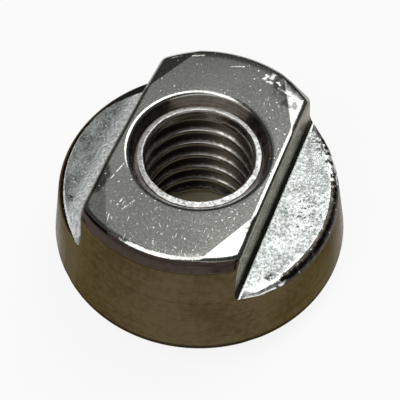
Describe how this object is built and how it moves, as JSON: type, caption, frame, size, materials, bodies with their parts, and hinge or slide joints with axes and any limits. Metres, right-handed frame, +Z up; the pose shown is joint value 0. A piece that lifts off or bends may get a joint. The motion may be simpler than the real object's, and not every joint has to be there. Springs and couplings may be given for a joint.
{
  "type": "round driver nut",
  "caption": "Round tapered metal nut with a raised flat-sided driving tongue across its top, a countersunk threaded through hole and a chamfered flat seat.",
  "frame": {"origin": "centre of the flat seat, on the axis of the threaded hole", "axes": "+Z up along the hole from the seat to the tongue's top, +Y along the tongue, +X across its flats"},
  "size_m": [0.0142, 0.0142, 0.0071],
  "materials": {
    "steel": "turned and milled steel, polished by tumbling, with small nicks"
  },
  "bodies": {
    "root": {"nut": "steel"}
  },
  "joints": []
}
